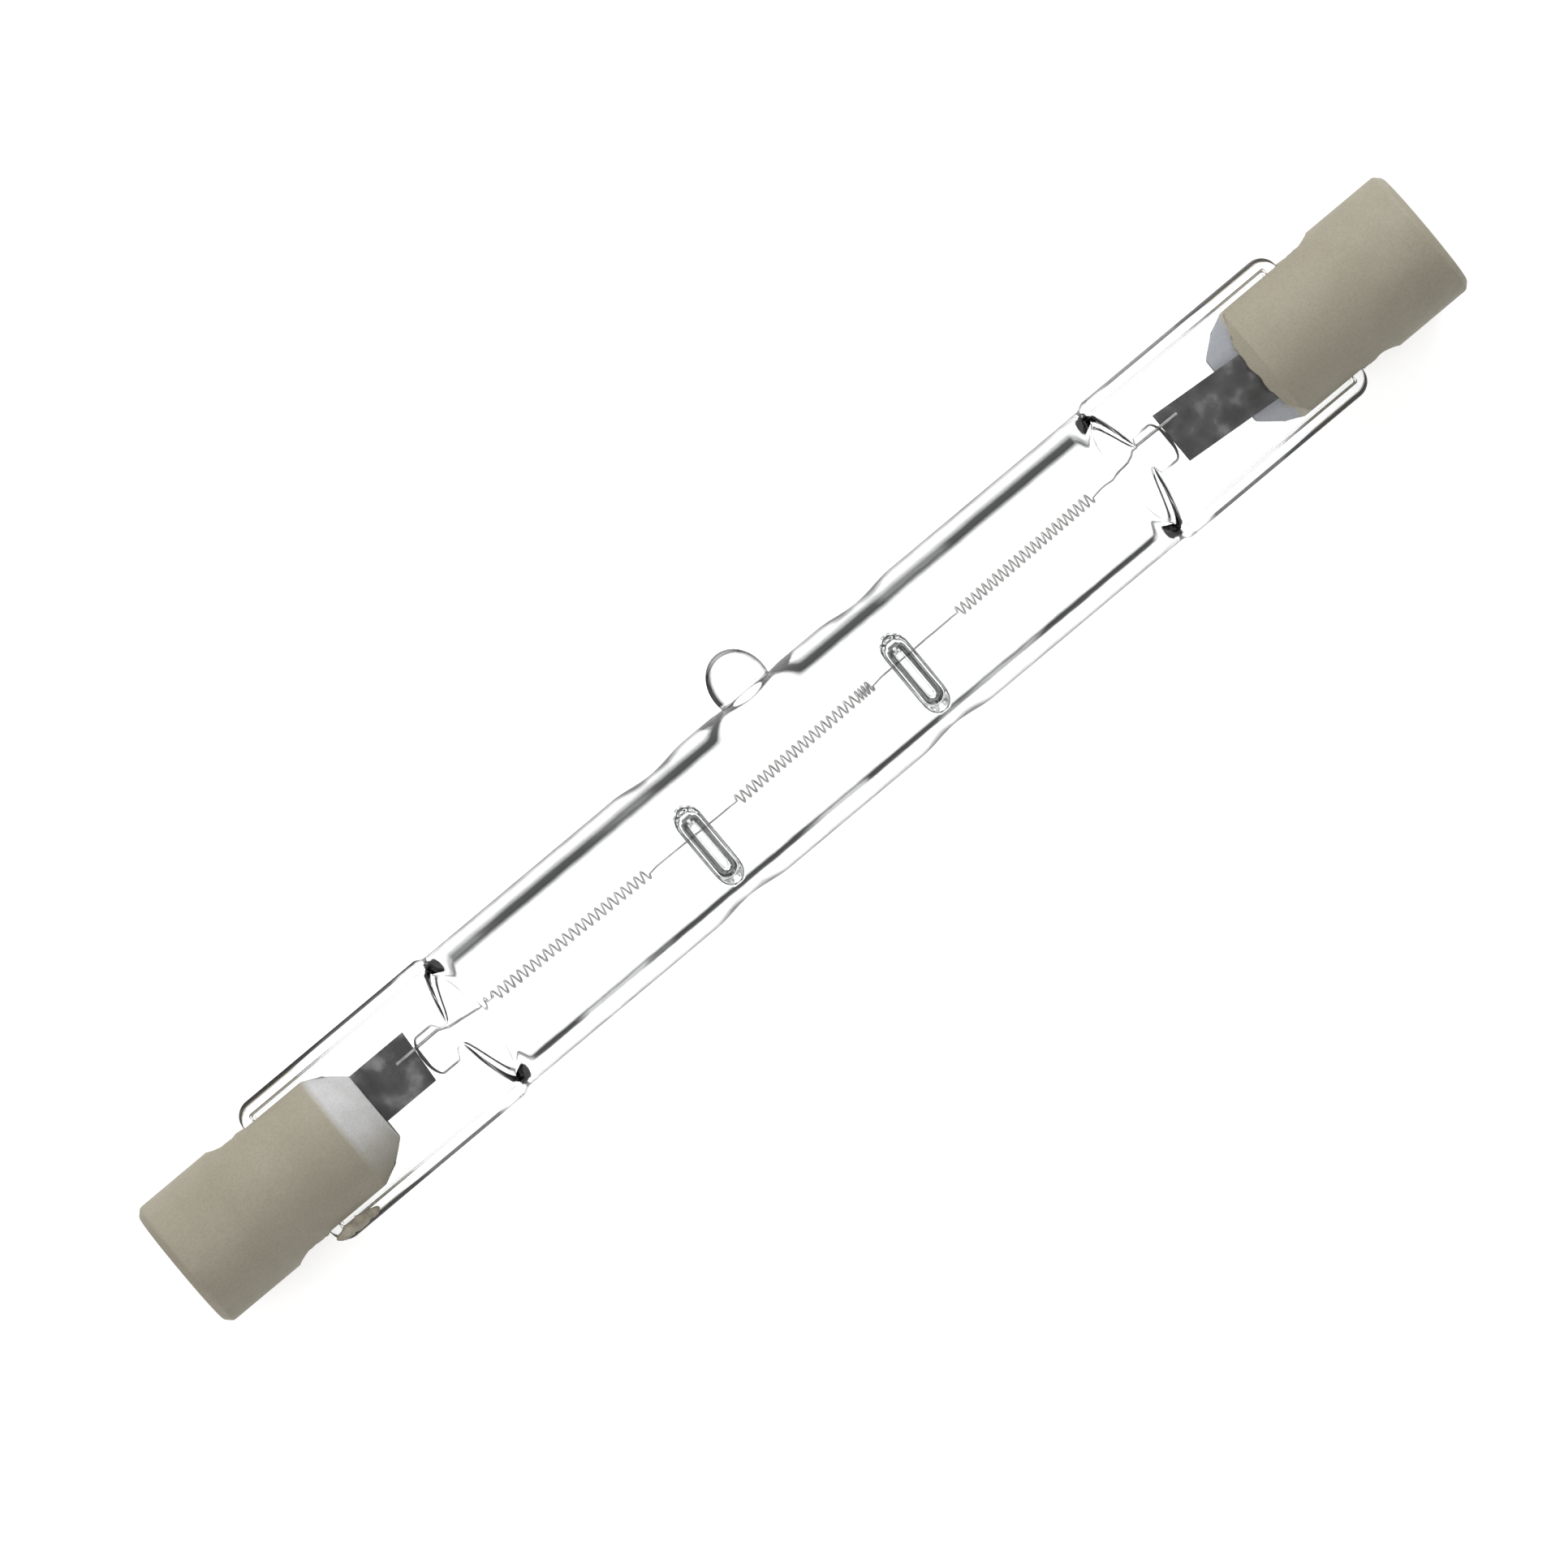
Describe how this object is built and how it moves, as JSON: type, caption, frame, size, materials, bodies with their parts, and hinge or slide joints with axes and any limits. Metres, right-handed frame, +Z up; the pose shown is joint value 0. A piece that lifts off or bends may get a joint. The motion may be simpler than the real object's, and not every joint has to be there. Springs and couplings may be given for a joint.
{
  "type": "linear halogen bulb",
  "caption": "Double-ended linear halogen bulb, 78 mm long, with a clear quartz tube, three filament coils, two pinch seals and two ceramic caps with recessed contacts.",
  "frame": {"origin": "where the lamp's axis meets the end face of the left cap", "axes": "+X along the lamp's axis to the right cap, +Y to the exhaust tip, +Z up, square to the flat of the pinch seals"},
  "size_m": [0.0783, 0.0104, 0.008],
  "materials": {
    "quartz": "clear",
    "tungsten": "satin",
    "molybdenum": "satin",
    "ceramic": "matte",
    "contact_metal": "satin",
    "cement": "matte"
  },
  "bodies": {
    "root": {"quartz_envelope": "quartz", "filament": "tungsten", "foil_left": "molybdenum", "outer_lead_left": "molybdenum", "ceramic_cap_left": "ceramic", "contact_left": "contact_metal", "cement_left": "cement", "foil_right": "molybdenum", "outer_lead_right": "molybdenum", "ceramic_cap_right": "ceramic", "contact_right": "contact_metal", "cement_right": "cement"}
  },
  "joints": []
}
